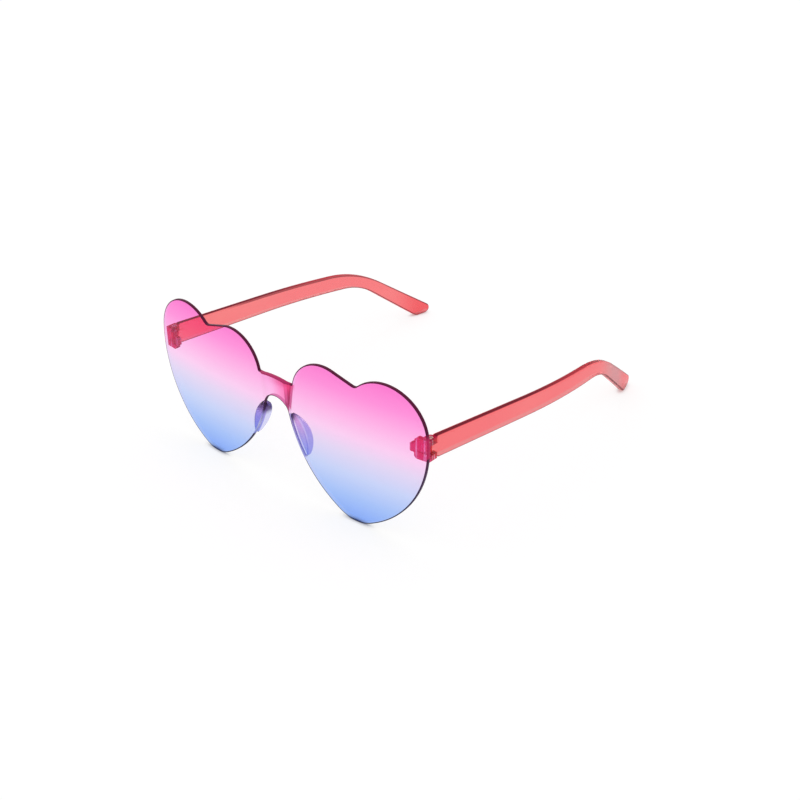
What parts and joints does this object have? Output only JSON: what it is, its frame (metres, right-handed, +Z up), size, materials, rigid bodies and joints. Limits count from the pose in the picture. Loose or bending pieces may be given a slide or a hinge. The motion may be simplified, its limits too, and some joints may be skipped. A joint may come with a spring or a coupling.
{
  "type": "heart shaped sunglasses",
  "caption": "Rimless sunglasses with a one-piece tinted lens cut as joined hearts, clear nose pads and translucent temples that fold on small screw hinges.",
  "frame": {"origin": "on the floor below the middle of the open glasses: x at the mirror plane, y half way from the bridge's front to the temple tips, z at the heart tips", "axes": "+X to the right seen from the front, the lens faces -Y, the temples run back along +Y, +Z up"},
  "size_m": [0.1504, 0.1682, 0.0649],
  "materials": {
    "lens": "clear polished sheet, tint fading from pink at the top to blue at the bottom",
    "nose_pad": "clear moulded plastic",
    "temple": "translucent coral moulded plastic, polished",
    "screw": "plain small steel screw"
  },
  "bodies": {
    "front": {"lens_front": "lens", "nose_pad_right": "nose_pad", "nose_pad_left": "nose_pad", "end_piece_right": "temple", "end_piece_left": "temple", "hinge_screw_right": "screw", "hinge_screw_left": "screw"},
    "temple_right_arm": {"temple_right": "temple"},
    "temple_left_arm": {"temple_left": "temple"}
  },
  "joints": [
    {"name": "right_temple_fold", "type": "hinge", "parent": "front", "child": "temple_right_arm", "pos_m": [0.0706, -0.07409, 0.04225], "axis": [0, 0, 1], "range_deg": [0, 86]},
    {"name": "left_temple_fold", "type": "hinge", "parent": "front", "child": "temple_left_arm", "pos_m": [-0.0706, -0.07409, 0.04225], "axis": [0, 0, -1], "range_deg": [0, 70]}
  ]
}
